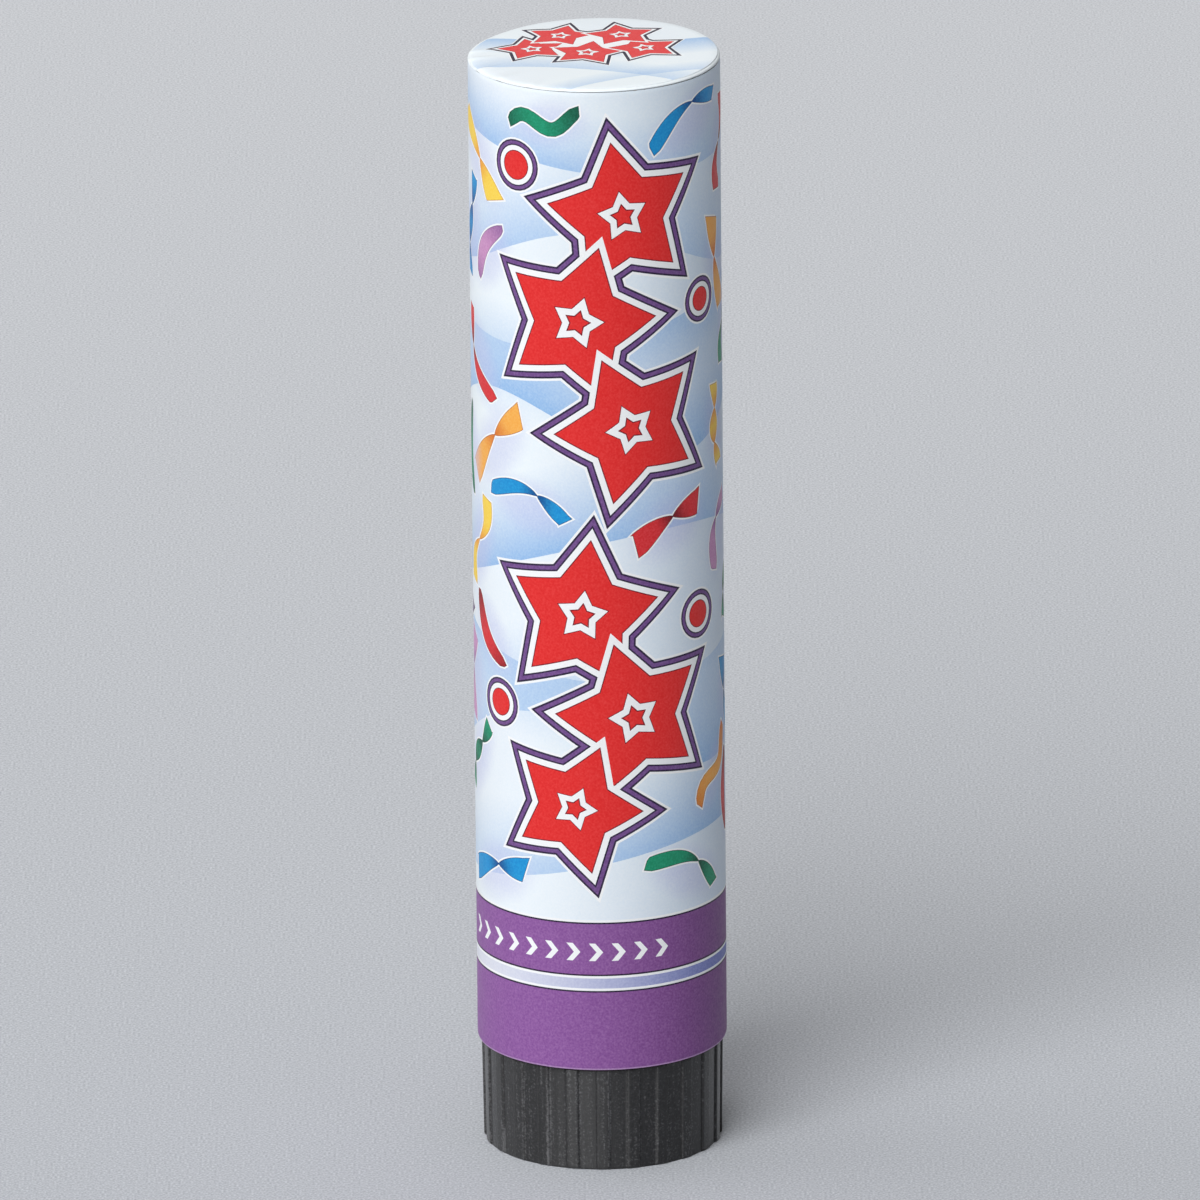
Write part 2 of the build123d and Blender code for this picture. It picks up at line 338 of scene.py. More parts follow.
def framed(outlines, line, surround, fill, backing=()):
    """Filled shapes in one white and dark surround; each later shape lies over the earlier ones."""
    layers = []
    rings = [(halo_spread, halo_white), (outer_spread, outline_dark), (surround_spread, surround),
             (inner_spread, outline_dark)]
    for spread, colour in rings:
        layers += [(grown(shape, spread * line), flat(colour)) for shape in outlines]
    layers += [(shape, flat(halo_white)) for shape in backing]
    for shape in outlines:
        layers.append((grown(shape, white_spread * line), flat(halo_white)))
        layers.append((grown(shape, edge_spread * line), flat(star_line)))
        layers.append((shape, flat(fill)))
    return layers


def emblem(stars, line, surround, fill, backing=()):
    """Overlapping stars, each with a small white star inside; the backing fills gaps between them."""
    layers = framed([star(*values) for values in stars], line, surround, fill, backing)
    inner = [(small_star_edge, star_line), (small_star, halo_white), (heart_edge, star_line), (heart, fill)]
    for u, v, radius, turn in stars:
        for share, colour in inner:
            layers.append((star(u, v, radius * share, turn), flat(colour)))
    return layers


# Streamers: their kinds, with twists and tips as shares of the length and of the width
streamer_kinds = {
    "curl": dict(width=3.2, sway=1.7, waves=2.0, twists=[0.5], tip=1.0),
    "twist": dict(width=4.4, sway=1.0, waves=1.2, twists=[0.58], tip=1.0),
    "helix": dict(width=3.2, sway=1.2, waves=1.6, twists=[0.28, 0.7], tip=0.9),
    "wave": dict(width=2.5, sway=1.5, waves=2.4, twists=[], tip=0.8),
    "hook": dict(width=3.4, sway=3.4, waves=1.0, twists=[0.64], tip=0.6),
    "leaf": dict(width=3.0, sway=1.8, waves=1.1, twists=[], tip=0.25),
}
end_slant = 0.45
margin_width = 0.42
edge_width = 0.11
shadow_right = 0.8
shadow_down = 0.6
shadow_ends = 3
shadow_sides = 2.6


def turned(points, u, v, degrees):
    """Points turned about the origin and set down at u and v."""
    cosine, sine = math.cos(math.radians(degrees)), math.sin(math.radians(degrees))
    x, y = points[:, 0], points[:, 1]
    return np.stack([u + x * cosine - y * sine, v + x * sine + y * cosine], axis=1)


def streamer_lobe(shape, length, start, end):
    """Outline of one stretch of a streamer, from an end or a twist to the next."""
    t = np.linspace(start, end, 15)
    along = (t - 0.5) * length
    across = shape["sway"] * (np.sin(math.pi * shape["waves"] * t) - 0.3)
    slope = np.gradient(across, along)
    normal = np.stack([-slope, np.ones_like(t)], axis=1) / np.sqrt(1 + slope**2)[:, None]
    half_turns = [0, *(number + 0.5 for number in range(len(shape["twists"]))), len(shape["twists"])]
    facing = np.abs(np.cos(math.pi * np.interp(t, [0, *shape["twists"], 1], half_turns)))
    taper = shape["tip"] + (1 - shape["tip"]) * np.sqrt(np.clip(np.sin(math.pi * t), 0, 1))
    half = (facing**0.8 * taper * shape["width"] / 2)[:, None]
    lean = np.zeros((len(t), 2))
    lean[0, 0] = end_slant if start == 0 else 0
    lean[-1, 0] = end_slant if end == 1 else 0
    line = np.stack([along, across], axis=1)
    sides = np.concatenate([line + (normal + lean) * half, (line - (normal + lean) * half)[::-1]])
    return sides[np.linalg.norm(sides - np.roll(sides, 1, axis=0), axis=1) > 0.02]


def streamer(u, v, turn, length, kind, colour):
    """A short curled paper streamer with its soft shadow, white margin and dark edge."""
    shape = streamer_kinds[kind]
    bright, deep = inks[colour]
    ends = [0, *shape["twists"], 1]
    lobes = [turned(streamer_lobe(shape, length, *pair), u, v, turn) for pair in zip(ends, ends[1:])]
    size = np.array([length / 2 + shadow_ends, shape["width"] + shadow_sides])

    def depth(pu, pv):
        along = turned(np.stack([pu - u, pv - v], axis=1), 0, 0, -turn)[:, 0] / length + 0.5
        if not shape["twists"]:
            return smooth(np.abs(along - 0.45) * 1.5)
        return smooth(1 - np.min([np.abs(along - twist) for twist in shape["twists"]], axis=0) / 0.26)

    def shade(pu, pv):
        place = np.stack([pu - u - shadow_right, pv - v + shadow_down], axis=1)
        place = turned(place, 0, 0, -turn) / size
        return 0.5 * smooth(1 - np.sum(place**2, axis=1)) ** 1.2

    shadow = turned(dot(0, 0, 1) * size, u + shadow_right, v - shadow_down, turn)
    layers = [(shadow, towards(lavender, shade))]
    layers += [(grown(lobe, margin_width), flat(halo_white)) for lobe in lobes]
    layers += [(grown(lobe, edge_width), flat(deep * 0.6)) for lobe in lobes]
    layers += [(lobe, blended(bright, deep, depth)) for lobe in lobes]
    return layers


def band_layers():
    """The purple band round the foot of the wrap, deepening to the right as painted shade, with its long
    arrow and arrow marks and a painted highlight along its cut bottom edge.
    """
    arrow = long_arrow(arrow_tail, arrow_tip, arrow_height, arrow_shaft, arrow_head)

    def along(u, v):
        return smooth((u - arrow_fade_start) / arrow_fade_length)

    layers = [
        (strip(band_top, art_bottom), flat(halo_white)),
        (strip(band_top - dark_line, band_top), flat(band_dark)),
        # painted shade: the band's purple deepens towards its right side
        (strip(wrap_bottom, band_top - dark_line), blended(band_purple, band_painted_shade, shaded_side)),
        # painted highlight: a lighter line along the cut bottom edge
        (strip(wrap_bottom, wrap_bottom + edge_highlight_width), flat(edge_highlight_purple)),
        (grown(arrow, line_width + dark_line), flat(band_dark)),
        (grown(arrow, line_width), flat(halo_white)),
        (arrow, blended(stripe_pale, stripe_blue, along)),
    ]
    for number in range(chevron_count):
        mark = chevron(chevron_start + chevron_spacing * number, chevron_height, chevron_size)
        layers.append((mark, flat(halo_white)))
    return layers


# Sweeps: height of the edge, its rise, waves round the tube, phase, depth (down if negative), strength
sweeps = [
    (57, 5, 1, 0.2, 15, 0.85),
    (80, 6, 2, 2.6, 17, 1.0),
    (98, 6, 1, 4.4, -14, 0.75),
    (112, 8, 1, 0.9, 17, 0.95),
    (139, 6, 2, 3.4, 17, 1.0),
    (160, 6, 1, 5.4, -15, 0.8),
    (171, 5, 2, 1.7, 15, 0.95),
    (190, 4, 1, 4.0, 11, 0.9),
]

# Stars (u, v, radius, turn) and dots (u, v, radius)
front_stars = [
    (5.0, 179.0, 13.6, 9),
    (-3.4, 159.4, 14.2, -16),
    (6.2, 139.4, 13.8, 22),
    (-3.0, 104.8, 14.0, -7),
    (6.4, 85.4, 14.2, 15),
    (-4.6, 68.6, 12.2, -22),
]
front_dots = [(-15.2, 187.4, 2.6), (21.8, 160.9, 2.1), (20.6, 102.4, 2.4), (-20.4, 86.2, 2.4)]
back_stars = [
    (62.0, 150.0, 14.0, -8),
    (54.0, 131.0, 10.0, 24),
    (-47.5, 117.0, 11.0, 12),
    (-45.0, 100.0, 8.5, -15),
]

# Streamers: u, v, turn, length, kind, colour
streamers = [
    (-27, 187, -44, 19, "twist", "yellow"), (-9.6, 196.6, 8, 14, "wave", "green"),
    (18.4, 195.0, 24, 18, "hook", "blue"), (30, 188, 80, 17, "curl", "red"),
    (-31, 173, 84, 19, "helix", "blue"), (-23, 170, 58, 13, "leaf", "pink"),
    (28.3, 166, 108, 18, "twist", "orange"), (-27, 149.5, 122, 18, "hook", "red"),
    (33, 154, 74, 15, "curl", "green"), (-22, 134.5, 46, 19, "twist", "orange"),
    (-32, 131, 96, 17, "leaf", "green"), (27, 136, 104, 15, "helix", "yellow"),
    (-14, 125, -12, 17, "hook", "blue"), (13.5, 121, 26, 15, "twist", "red"),
    (28.5, 116, 66, 14, "hook", "pink"), (-28, 115, 70, 18, "curl", "yellow"),
    (34, 106, 74, 15, "helix", "green"), (-24, 98.8, 128, 15, "leaf", "red"),
    (-32.5, 88.5, 88, 16, "twist", "pink"), (33, 84, 112, 15, "twist", "blue"),
    (25.6, 72.5, 48, 16, "wave", "orange"), (-29.5, 74.5, 60, 16, "helix", "green"),
    (32, 66, 96, 16, "leaf", "red"), (-22.5, 54.6, 14, 16, "twist", "blue"),
    (17, 55, -22, 18, "hook", "green"), (46, 188, 30, 18, "twist", "blue"),
    (58, 177, 100, 18, "hook", "red"), (44, 163, 70, 18, "helix", "yellow"),
    (44.5, 108, 100, 15, "twist", "pink"), (59, 110, 86, 17, "curl", "blue"),
    (47, 89, 120, 15, "hook", "orange"), (60, 80, 26, 18, "twist", "green"),
    (46, 70, 74, 15, "wave", "red"), (60, 58, 10, 16, "hook", "yellow"),
    (-45, 186, 56, 18, "hook", "green"), (-56, 178, 112, 18, "twist", "pink"),
    (-42, 168.5, 34, 15, "wave", "yellow"), (-55, 155, 76, 16, "helix", "red"),
    (-41, 141, 104, 17, "hook", "blue"), (-54, 134.5, 28, 14, "twist", "orange"),
    (-52, 81, 58, 18, "twist", "blue"), (-43, 71, 38, 17, "curl", "yellow"),
    (-54, 60, 118, 16, "hook", "green"),
]


def wrap_layers():
    """The whole print of the wrap, from the ground up."""
    layers = []
    for values in sweeps:
        layers += sweep(*values)
    for values in streamers:
        layers += streamer(*values)
    layers += framed([dot(*values) for values in front_dots], dot_line_width, outline_purple, star_red)
    layers += emblem(front_stars, star_line_width, outline_purple, star_red)
    layers += emblem(back_stars, star_line_width, outline_purple, star_red)
    return layers + band_layers()


def wrap_ground(u, v):
    """Bare ground of the print: white with a breath of lavender, bluer round the right side, partly print
    and partly painted shade.
    """
    angle = u / wrap_radius
    cloud = 0.5 + 0.5 * np.sin(2 * angle + 0.8) * np.sin(v / 17 + 0.4 * np.sin(angle))
    white = paper_white + (lavender - paper_white) * (cloud_share * cloud)[:, None]
    return white + (sky_blue - white) * (blue_and_shade_share * shaded_side(u, v))[:, None]


def arc_sweep(centre, radius, depth, strength):
    """A pale blue sweep across the seal, crisp along an arc."""
    def share(x, y):
        reach = np.hypot(x - centre[0], y - centre[1])
        return strength * np.clip(1 - (reach - radius) / depth, 0, 1)

    middle = math.atan2(-centre[1], -centre[0])
    angle = np.linspace(middle - 0.6, middle + 0.6, 50)
    way = np.stack([np.cos(angle), np.sin(angle)], axis=1)
    outline = np.concatenate([centre + radius * way, (centre + (radius + depth) * way)[::-1]])
    return [(outline, towards(sky_blue, share))]


# Seal: sweeps (centre, radius, depth, strength), stars (x, y, radius, turn) and the white between them
seal_sweeps = [((4, 60), 54, 9, 0.8), ((-16, -62), 54, 7, 0.5), ((30, -66), 56, 5, 0.45)]
seal_stars = [
    (-11.0, 2.8, 6.2, 12),
    (-1.2, 0.2, 6.6, -10),
    (9.0, 2.4, 6.3, 16),
    (-6.0, 10.7, 6.0, -14),
    (4.8, 10.5, 6.2, 8),
]
seal_backing = np.array([(-9.4, 6.8), (-5.6, -2.4), (4.4, 1.0), (6.6, 6.4), (-0.6, 11.2), (-6.0, 8.6)])


def seal_layers():
    """The whole print of the seal, from the ground up."""
    layers = []
    for values in seal_sweeps:
        layers += arc_sweep(*values)
    return layers + emblem(seal_stars, seal_line_width, seal_line, seal_red, [seal_backing])


def seal_ground(x, y):
    """Bare ground of the seal: white with a breath of lavender."""
    cloud = 0.5 + 0.5 * np.sin(x / 9 + 1) * np.sin(y / 8)
    return paper_white + (lavender - paper_white) * (seal_cloud_share * cloud)[:, None]


# Meshes

def printed(points, sheet, layers, ground):
    """Triangles of a flat sheet, cut along every outline, and the colour at each corner."""
    coords = [Vector(point) for point in points]
    faces = []
    for outline in [sheet, *(layer[0] for layer in layers)]:
        first = len(coords)
        coords += [Vector(point) for point in divided(facing_out(outline))]
        faces.append(list(range(first, len(coords))))
    verts, _, tris, _, _, sources = delaunay_2d_cdt(coords, [], faces, 0, 1e-4)
    sources = [sorted(covering) for covering in sources]
    inside = [index for index, covering in enumerate(sources) if 0 in covering]
    used, tris = np.unique(np.array(tris)[inside], return_inverse=True)
    place = np.array([verts[index][:] for index in used])
    tris = tris.reshape(-1, 3)
    groups = {}
    for number, index in enumerate(inside):
        groups.setdefault(tuple(sources[index]), []).append(number)
    colours = np.empty((len(tris), 3, 3))
    for covering, members in groups.items():
        u, v = place[tris[members]].reshape(-1, 2).T
        colour = ground(u, v)
        for layer in covering[1:]:
            colour = layers[layer - 1][1](colour, u, v)
        colours[members] = colour.reshape(-1, 3, 3)
    return place, tris, colours


def open_edges(tris, count):
    """Edges that only one triangle has, in that triangle's direction."""
    start = tris.reshape(-1)
    end = np.roll(tris, -1, axis=1).reshape(-1)
    alone = ~np.isin(start * count + end, end * count + start)
    return np.stack([start[alone], end[alone]], axis=1)


def link(name, data):
    """A new object in the scene with a mesh, light or camera as its data."""
    piece = bpy.data.objects.new(name, data)
    bpy.context.scene.collection.objects.link(piece)
    return piece


def paint_corners(mesh, colours):
    """Writes the print's colours to the mesh, one to each corner of a face."""
    full = np.concatenate([colours, np.ones((len(colours), 1))], axis=1)
    layer = mesh.attributes.new("print", "FLOAT_COLOR", "CORNER")
    layer.data.foreach_set("color", full.astype(np.float32).ravel())


def wrap_point(u, v, depth=0.0):
    """Place in space of a point of the wrap, depth below its printed face."""
    climb = smooth((u - half_turn) / lap_ramp + 1)
    low = np.clip(1 - (v - wrap_bottom) / tuck_height, 0, 1) ** 2
    high = np.clip(1 - (wrap_top - v) / tuck_height, 0, 1) ** 2
    ripple = ripple_height * np.sin(u / 7 + v / 31) * np.sin(v / 13 + 1.2)
    tuck = tuck_depth * (low + high)
    reach = wrap_radius - face_inset + lap_step * climb - tuck + ripple - depth
    angle = u / wrap_radius
    return np.stack([reach * np.sin(angle), -reach * np.cos(angle), v], axis=-1) * MM


def wrap_normal(u, v):
    """Direction in which the wrap's printed face looks at a point."""
    step = 0.05
    across = wrap_point(u + step, v) - wrap_point(u - step, v)
    up = wrap_point(u, v + step) - wrap_point(u, v - step)
    normal = np.cross(across, up)
    return normal / np.linalg.norm(normal, axis=-1, keepdims=True)


def wrap_grid():
    """Points spread over the unrolled wrap, closer along its edges and at the lap."""
    near_edge = np.array([0, 0.2, 0.45, 0.8])
    middle = np.arange(wrap_bottom + lowest_row, wrap_top - highest_row, row_step)
    rows = np.concatenate([wrap_bottom + near_edge, middle, wrap_top - near_edge])
    columns = np.linspace(sheet_left, sheet_right, round((sheet_right - sheet_left) / column_step))
    columns = np.union1d(columns, half_turn + np.linspace(-lap_ramp, 0, 5))
    return [(u, v) for v in rows for u in columns]


def wrap_map(u, v, tris, inner, rim):
    """Bake map of the wrap, one place for each corner of its faces."""
    width, height = sheet_right - sheet_left, wrap_top - wrap_bottom
    spot = np.stack([(u - sheet_left) / width, (v - wrap_bottom) / height], axis=1)
    face = map_margin + spot * (face_width, face_width * height / width)
    back = (back_left, map_margin) + spot * (back_width, back_height)
    edge = np.stack([spot[rim[:, 0]], spot[rim[:, 1]]], axis=1) * (back_width, edge_rise)
    edge = (back_left, edge_bottom) + np.concatenate([edge, edge[:, ::-1] + (0, edge_strip)], axis=1)
    return np.concatenate([face[tris.ravel()], back[inner.ravel() - len(u)], edge.reshape(-1, 2)])


def wrap_piece():
    """The printed wrap as a closed sheet of paper round the tube."""
    sheet = strip(wrap_bottom, wrap_top)
    place, tris, colours = printed(wrap_grid(), sheet, wrap_layers(), wrap_ground)
    u, v = place.T
    count = len(place)
    rim = open_edges(tris, count)
    rim = np.stack([rim[:, 1], rim[:, 0], rim[:, 0] + count, rim[:, 1] + count], axis=1)
    verts = np.concatenate([wrap_point(u, v), wrap_point(u, v, wrap_thickness)])
    inner = tris[:, ::-1] + count
    mesh = bpy.data.meshes.new("wrap_sheet")
    mesh.from_pydata(verts.tolist(), [], tris.tolist() + inner.tolist() + rim.tolist(), shade_flat=False)
    plain = np.tile(cut_edge, (inner.size + rim.size, 1))
    paint_corners(mesh, np.concatenate([colours.reshape(-1, 3), plain]))

    out = wrap_normal(u, v)
    edge = np.cross(verts[rim[:, 1]] - verts[rim[:, 0]], verts[rim[:, 2]] - verts[rim[:, 1]])
    edge = edge / np.maximum(np.linalg.norm(edge, axis=1, keepdims=True), 1e-12)
    inward = -out[inner.ravel() - count]
    normals = np.concatenate([out[tris.ravel()], inward, np.repeat(edge, 4, axis=0)])
    mesh.normals_split_custom_set(normals.tolist())

    corners = wrap_map(u, v, tris, inner, rim)
    mesh.uv_layers.new(name="OFBake").data.foreach_set("uv", corners.astype(np.float32).ravel())
    return link("printed_wrap_sheet", mesh)


def seal_height(x, y):
    """Height of the seal's face: tilted, bent down at the back left and puckered at the left front."""
    radius, angle = np.hypot(x, y), np.arctan2(y, x)
    bent_side = 0.5 + 0.5 * np.cos(angle - math.radians(seal_bend_angle))
    outward = np.clip((radius - bend_start) / (card_radius - bend_start), 0, 1)
    bend = seal_bend * bent_side**3 * outward**2
    tilt = seal_tilt * (tilt_x * x + tilt_y * y) / card_radius
    uneven = seal_wave * np.sin(x / 6 + 0.5) * np.sin(y / 5) * np.clip(radius / 8, 0, 1)
    roll = rim_roll * np.clip((radius - flat_radius) / roll_width, 0, 1) ** 2
    pucker = 0
    inward = np.clip((radius - card_radius) / pucker_reach + 1, 0, 1)
    for place, width, height in seal_puckers:
        apart = (np.degrees(angle) - place) / width
        pucker = pucker + height * np.exp(-apart**2) * inward
    return seal_top - face_drop + tilt - bend - roll + pucker + uneven


def seal_piece():
    """The printed seal: a thin card with its edge standing on a rounded rim."""
    points = [(0.0, 0.0)]
    for radius in np.append(np.arange(ring_step, inner_rings, ring_step), outer_rings):
        count = rim_points if radius > inner_rings else max(6, round(2 * math.pi * radius / ring_step))
        angle = np.linspace(0, 2 * math.pi, count, endpoint=False)
        points += list(zip(radius * np.cos(angle), radius * np.sin(angle)))
    angle = np.linspace(0, 2 * math.pi, rim_points, endpoint=False)
    sheet = card_radius * np.stack([np.cos(angle), np.sin(angle)], axis=1)
    place, tris, colours = printed(points, sheet, seal_layers(), seal_ground)
    x, y = place.T
    top = np.stack([x, y, seal_height(x, y)], axis=1)
    rim = open_edges(tris, len(place))[:, 0]
    rim = rim[np.argsort(np.arctan2(y[rim], x[rim]))]
    angle = np.arctan2(y[rim], x[rim])
    lift = top[rim, 2] - seal_bottom
    verts, faces = [top], tris.tolist()
    previous = rim
    total = len(place)
    for out, share in rim_profile:
        radius = card_radius + out
        height = seal_bottom + lift * share
        verts.append(np.stack([radius * np.cos(angle), radius * np.sin(angle), height], axis=1))
        current = np.arange(total, total + len(rim))
        total += len(rim)
        band = [previous, current, np.roll(current, -1), np.roll(previous, -1)]
        faces += np.stack(band, axis=1).tolist()
        previous = current
    faces.append(previous[::-1].tolist())
    mesh = bpy.data.meshes.new("seal_card")
    mesh.from_pydata((np.concatenate(verts) * MM).tolist(), [], faces, shade_flat=False)
    plain = np.tile(paper_white, (len(mesh.loops) - tris.size, 1))
    paint_corners(mesh, np.concatenate([colours.reshape(-1, 3), plain]))
    mesh.set_sharp_from_angle(angle=math.radians(rim_crease))
    return link("printed_seal", mesh)


# Confetti and wad

slip_width = 16.0
slip_length = 41.0
bundle_thickness = 5.6
bundle_gap = 0.4
slips_in_bundle = 18
bundle_rows = 6
bundle_tiers = 2
bundle_ease = 1.1
slip_trim = 1.8
slip_paper = 0.1
confetti_colours = ["red", "blue", "green", "yellow", "pink"]

# How unevenly the slips lie: shift as a share of the trim, lean as a slope, the rest in millimetres
slip_shift = 0.42
slip_lean = 0.01
slip_curl = 0.05
slip_bow = 0.2
slip_wave = 0.2

# Felt wad: rounding of its edge, inset, flatness, and how finely it is drawn
pad_rounding = 1.4
pad_bulge = 1.3
pad_inset = 0.14
pad_flatness = 0.955
pad_middle = 0.06
pad_rings = 14
pad_points = 120


def bundle_places():
    """Centres of the bundles, as in the CAD model: rows and tiers that fill the tube."""
    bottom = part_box("confetti_red")[0].z / MM
    places = []
    for tier in range(bundle_tiers):
        height = bottom + tier * (slip_length + bundle_gap) + slip_length / 2
        for row in range(bundle_rows):
            across = (row - (bundle_rows - 1) / 2) * (bundle_thickness + bundle_gap)
            columns = 1 if row in (0, bundle_rows - 1) else 2
            for column in range(columns):
                aside = (column - (columns - 1) / 2) * (slip_width + bundle_gap)
                places.append((aside, across, height))
    return places


def slips_piece(number, colour, random):
    """All slips of one colour: loose stacks of thin wavy tissue in the places of the bundles."""
    across = np.linspace(-0.5, 0.5, 5)
    along = np.linspace(-0.5, 0.5, 11)
    verts, faces, tints = [], [], []
    for centre in bundle_places()[number::len(confetti_colours)]:
        phase, bow = random.uniform(0, 6.3), random.uniform(-slip_bow, slip_bow)
        for slip in range(slips_in_bundle):
            offset = (slip / (slips_in_bundle - 1) - 0.5) * (bundle_thickness - bundle_ease)
            width, length = slip_width - slip_trim, slip_length - slip_trim
            aside, up = random.uniform(-slip_shift, slip_shift, 2) * slip_trim
            lean = random.uniform(-slip_lean, slip_lean)
            curl = random.uniform(-slip_curl, slip_curl)
            first = len(verts)
            for b in along:
                for a in across:
                    wave = slip_wave * math.sin(4 * b + phase) + bow * (2 * a) ** 2 + curl * (2 * b) ** 3
                    x = centre[0] + aside + a * width + lean * b * length
                    z = centre[2] + up + b * length - lean * a * width
                    verts.append((x, centre[1] + offset + wave, z))
            for row in range(len(along) - 1):
                for column in range(len(across) - 1):
                    corner = first + row * len(across) + column
                    faces.append((corner, corner + 1, corner + 1 + len(across), corner + len(across)))
            tints += [random.uniform(0.0, 1.0)] * (len(across) * len(along))
    mesh = bpy.data.meshes.new("slips_" + colour)
    mesh.from_pydata((np.array(verts) * MM).tolist(), [], faces)
    mesh.attributes.new("tint", "FLOAT", "POINT").data.foreach_set("value", tints)
    piece = link("slips_" + colour, mesh)
    sheet = piece.modifiers.new("paper", "SOLIDIFY")
    sheet.thickness = slip_paper * MM
    sheet.offset = 0
    return piece


def pad_piece():
    """The felt wad: a pressed disc with soft edges and a hairy face."""
    radius, low, high = pad_high.x / MM, pad_low.z / MM, pad_high.z / MM
    middle, half = (low + high) / 2, (high - low) / 2
    flat_reach = radius - pad_rounding
    profile = [(share * flat_reach, -half) for share in np.linspace(pad_middle, 1, pad_rings)]
    for angle in np.linspace(-90, 90, 13)[1:-1]:
        bulge = math.radians(angle)
        profile.append((flat_reach + pad_bulge * math.cos(bulge) ** 0.7, half * math.sin(bulge)))
    profile += [(share * flat_reach, half) for share in np.linspace(1, pad_middle, pad_rings)]
    count = pad_points
    verts = []
    for reach, height in profile:
        for step in range(count):
            angle = 2 * math.pi * step / count
            point = Vector((reach * math.cos(angle), reach * math.sin(angle), height))
            fuzz = noise.noise(point * 0.9) * 0.10 + noise.noise(point * 2.6) * 0.06
            pull = 1 - (pad_inset + fuzz) / radius
            verts.append((point.x * pull, point.y * pull, middle + height * (pad_flatness + fuzz * 0.2)))
    faces = []
    for ring in range(len(profile) - 1):
        for step in range(count):
            a, b = ring * count + step, ring * count + (step + 1) % count
            faces.append((a, b, b + count, a + count))
    faces.append(tuple(range(count - 1, -1, -1)))
    faces.append(tuple(range((len(profile) - 1) * count, len(profile) * count)))
    mesh = bpy.data.meshes.new("felt_wad")
    mesh.from_pydata((np.array(verts) * MM).tolist(), [], faces, shade_flat=False)
    return link("felt_wad", mesh)


# Materials

def node(tree, kind, inputs=None, **settings):
    """A new shader node with its settings, and with a value or a link for each named input."""
    made = tree.nodes.new("ShaderNode" + kind)
    for name, value in settings.items():
        setattr(made, name, value)
    for name, value in (inputs or {}).items():
        if isinstance(value, bpy.types.NodeSocket):
            tree.links.new(value, made.inputs[name])
        else:
            made.inputs[name].default_value = value
    return made


def new_material(name):
    """A new material with its node tree and its shader."""
    material = bpy.data.materials.new(name)
    material.use_nodes = True
    return material, material.node_tree, material.node_tree.nodes["Principled BSDF"]


def reckon(tree, operation, *values):
    """Result of a math node on values or links."""
    return node(tree, "Math", dict(enumerate(values)), operation=operation).outputs["Value"]


def axes_of(tree, space="Object"):
    """The place of a point as three links, X, Y and Z."""
    return node(tree, "SeparateXYZ", {"Vector": node(tree, "TexCoord").outputs[space]}).outputs


def grain(tree, scale, detail=3.0, stretch=(1, 1, 1)):
    """Noise with features of about 1 / scale metres, drawn out along an axis by stretch."""
    place = node(tree, "TexCoord").outputs["Object"]
    place = node(tree, "Mapping", {"Vector": place, "Scale": stretch}).outputs["Vector"]
    return node(tree, "TexNoise", {"Vector": place, "Scale": scale, "Detail": detail}).outputs["Fac"]


def ranged(tree, share, low, high, start=0.3, end=0.7):
    """A share from start to end, stretched to run from low to high."""
    inputs = {"Value": share, "From Min": start, "From Max": end, "To Min": low, "To Max": high}
    return node(tree, "MapRange", inputs).outputs["Result"]


def ramped(tree, share, colours, start=0.3, end=0.7):
    """Colours spread evenly over the range of a share."""
    ramp = node(tree, "ValToRGB", {"Fac": share})
    stops = ramp.color_ramp.elements
    while len(stops) < len(colours):
        stops.new(0.5)
    for number, colour in enumerate(colours):
        stops[number].position = start + (end - start) * number / (len(colours) - 1)
        stops[number].color = (*colour, 1)
    return ramp.outputs["Color"]


def bump(tree, height, distance, strength=1.0, **more):
    """Normal of a face roughened by a height."""
    inputs = {"Height": height, "Distance": distance, "Strength": strength, **more}
    return node(tree, "Bump", inputs).outputs["Normal"]


def join(tree, shader, **sockets):
    """Gives the shader's sockets their values or links."""
    for name, value in sockets.items():
        socket = shader.inputs[name.replace("_", " ")]
        if isinstance(value, bpy.types.NodeSocket):
            tree.links.new(value, socket)
        else:
            socket.default_value = value


def printed_paper(name):
    """Coated paper with the mesh's print: fine mottling of the ink and a satin face."""
    material, tree, shader = new_material(name)
    colour = node(tree, "Attribute", attribute_name="print").outputs["Color"]
    mottle = ranged(tree, grain(tree, 2600, 3.0), 0.88, 1.16)
    colour = node(tree, "Gamma", {"Color": colour, "Gamma": mottle}).outputs["Color"]
    join(tree, shader, Base_Color=colour, Roughness=ranged(tree, grain(tree, 900), 0.4, 0.54),
         Specular_IOR_Level=0.3, Normal=bump(tree, grain(tree, 2600, 4.0), 0.00002, 0.5))
    return material


def grained(name, colours, scale, rough, relief, stretch=(1, 1, 1), metallic=0.0, specular=0.5):
    """Material whose colour and roughness wander with a noise and whose relief is a finer one."""
    material, tree, shader = new_material(name)
    share = grain(tree, scale, 4.0, stretch)
    colours = [ink(*colour) for colour in colours]
    join(tree, shader, Base_Color=ramped(tree, share, colours), Roughness=ranged(tree, share, *rough),
         Metallic=metallic, Specular_IOR_Level=specular,
         Normal=bump(tree, grain(tree, scale * 3, 3.0, stretch), relief))
    return material


